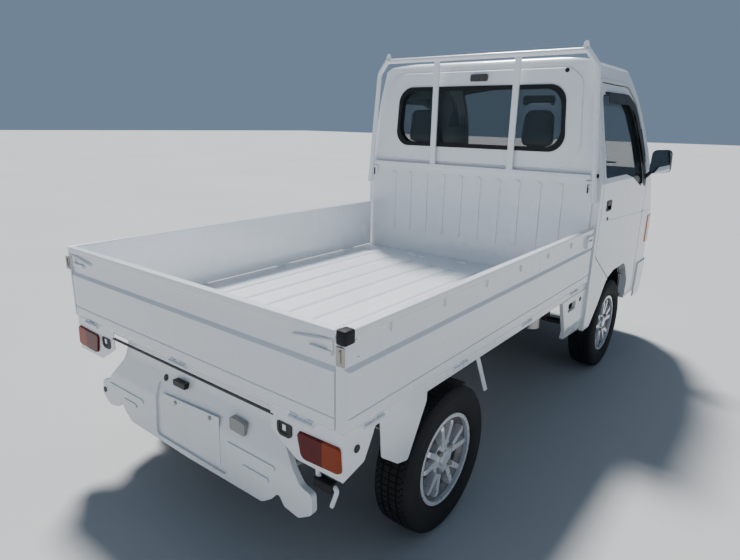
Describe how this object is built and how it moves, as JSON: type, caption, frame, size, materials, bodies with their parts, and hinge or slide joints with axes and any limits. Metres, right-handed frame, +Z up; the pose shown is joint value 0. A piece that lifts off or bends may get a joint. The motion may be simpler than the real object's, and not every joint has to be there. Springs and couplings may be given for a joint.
{
  "type": "kei pickup truck",
  "caption": "White cab-over kei truck with a low drop-side bed, a tube guard frame behind the cab, side doors, hinged bed gates, alloy wheels and a rear-mounted engine.",
  "frame": {"origin": "on the ground under the middle of the truck's length and width", "axes": "+X forward, +Y to the truck's left, +Z up"},
  "size_m": [3.3891, 1.7336, 1.8252],
  "materials": {
    "white_paint": "gloss white coachwork paint",
    "black_paint": "satin black chassis paint",
    "tyre": "matt black rubber",
    "alloy": "silver painted alloy",
    "iron": "dull cast iron",
    "steel": "weathered steel",
    "glass": "green tinted glass",
    "red_lens": "red and amber lens",
    "amber_lens": "amber lens",
    "clear_lens": "clear lens",
    "black_plastic": "grained black plastic",
    "grey_plastic": "grained dark grey plastic",
    "black_rubber": "matt black rubber",
    "seat_cloth": "dark grey woven cloth",
    "plate_white": "blank white plate"
  },
  "bodies": {
    "chassis": {"ladder_frame": "black_paint", "bed_deck": "white_paint", "cab_shell": "white_paint", "windscreen": "glass", "rear_window": "glass", "dashboard": "grey_plastic", "seat_cushions": "seat_cloth", "seat_backs": "seat_cloth", "inside_mirror": "black_plastic", "steering_column": "black_plastic", "headboard": "white_paint", "guard_frame": "white_paint", "rear_panel": "white_paint", "tail_lamps": "red_lens", "reversing_lamp": "clear_lens", "engine": "iron", "transaxle": "alloy", "rear_arms": "black_paint", "drive_shafts": "steel", "front_suspension": "black_paint", "headlamps": "clear_lens", "front_turn_lamps": "amber_lens", "front_bumper": "white_paint", "quarter_panels": "white_paint", "rear_guards": "white_paint", "fuel_tank": "black_paint", "silencer": "steel", "rear_window_seal": "black_rubber", "plates": "plate_white", "tow_hook": "white_paint", "wipers": "black_plastic", "black_trim": "black_plastic", "roof_lamp": "grey_plastic", "sun_visors": "grey_plastic", "front_grille": "black_plastic", "canister": "steel"},
    "door_left": {"door_shell_left": "white_paint", "door_glass_left": "glass", "door_mirror_left": "black_plastic", "door_trim_left": "black_plastic"},
    "door_right": {"door_shell_right": "white_paint", "door_glass_right": "glass", "door_mirror_right": "black_plastic", "door_trim_right": "black_plastic"},
    "tailgate": {"tailgate": "white_paint"},
    "side_gate_left": {"side_gate_left": "white_paint"},
    "side_gate_right": {"side_gate_right": "white_paint"},
    "steering_wheel": {"steering_wheel": "black_plastic"},
    "knuckle_left": {"knuckle_left": "iron"},
    "knuckle_right": {"knuckle_right": "iron"},
    "wheel_front_left": {"tyre_front_left": "tyre", "rim_front_left": "alloy"},
    "wheel_front_right": {"tyre_front_right": "tyre", "rim_front_right": "alloy"},
    "wheel_rear_left": {"tyre_rear_left": "tyre", "rim_rear_left": "alloy"},
    "wheel_rear_right": {"tyre_rear_right": "tyre", "rim_rear_right": "alloy"}
  },
  "joints": [
    {"name": "steering_turn", "type": "hinge", "parent": "chassis", "child": "steering_wheel", "pos_m": [1.09, 0.37, 1.02], "axis": [-0.6428, 0, 0.766], "range_deg": [-560, 560]},
    {"name": "knuckle_left_turn", "type": "hinge", "parent": "chassis", "child": "knuckle_left", "pos_m": [0.795, 0.59, 0.271], "axis": [0, 0, 1], "range_deg": [-35, 35]},
    {"name": "knuckle_right_turn", "type": "hinge", "parent": "chassis", "child": "knuckle_right", "pos_m": [0.795, -0.59, 0.271], "axis": [0, 0, 1], "range_deg": [-35, 35]},
    {"name": "wheel_front_left_spin", "type": "hinge", "parent": "knuckle_left", "child": "wheel_front_left", "pos_m": [0.795, 0.6445, 0.271], "axis": [0, 1, 0], "continuous": true},
    {"name": "wheel_front_right_spin", "type": "hinge", "parent": "knuckle_right", "child": "wheel_front_right", "pos_m": [0.795, -0.6445, 0.271], "axis": [0, 1, 0], "continuous": true},
    {"name": "wheel_rear_left_spin", "type": "hinge", "parent": "chassis", "child": "wheel_rear_left", "pos_m": [-1.09, 0.6445, 0.271], "axis": [0, 1, 0], "continuous": true},
    {"name": "wheel_rear_right_spin", "type": "hinge", "parent": "chassis", "child": "wheel_rear_right", "pos_m": [-1.09, -0.6445, 0.271], "axis": [0, 1, 0], "continuous": true},
    {"name": "door_left_swing", "type": "hinge", "parent": "chassis", "child": "door_left", "pos_m": [1.228, 0.735, 0.8], "axis": [0, 0, -1], "range_deg": [0, 65]},
    {"name": "door_right_swing", "type": "hinge", "parent": "chassis", "child": "door_right", "pos_m": [1.228, -0.735, 0.8], "axis": [0, 0, 1], "range_deg": [0, 65]},
    {"name": "tailgate_drop", "type": "hinge", "parent": "chassis", "child": "tailgate", "pos_m": [-1.69, 0, 0.64], "axis": [0, -1, 0], "range_deg": [0, 178]},
    {"name": "side_gate_left_drop", "type": "hinge", "parent": "chassis", "child": "side_gate_left", "pos_m": [-0.7, 0.731, 0.64], "axis": [-1, 0, 0], "range_deg": [0, 175]},
    {"name": "side_gate_right_drop", "type": "hinge", "parent": "chassis", "child": "side_gate_right", "pos_m": [-0.7, -0.731, 0.64], "axis": [1, 0, 0], "range_deg": [0, 175]}
  ],
  "couplings": [
    {"joint": "knuckle_left_turn", "follows": "steering_turn", "ratio": 0.0625},
    {"joint": "knuckle_right_turn", "follows": "steering_turn", "ratio": 0.0625}
  ]
}
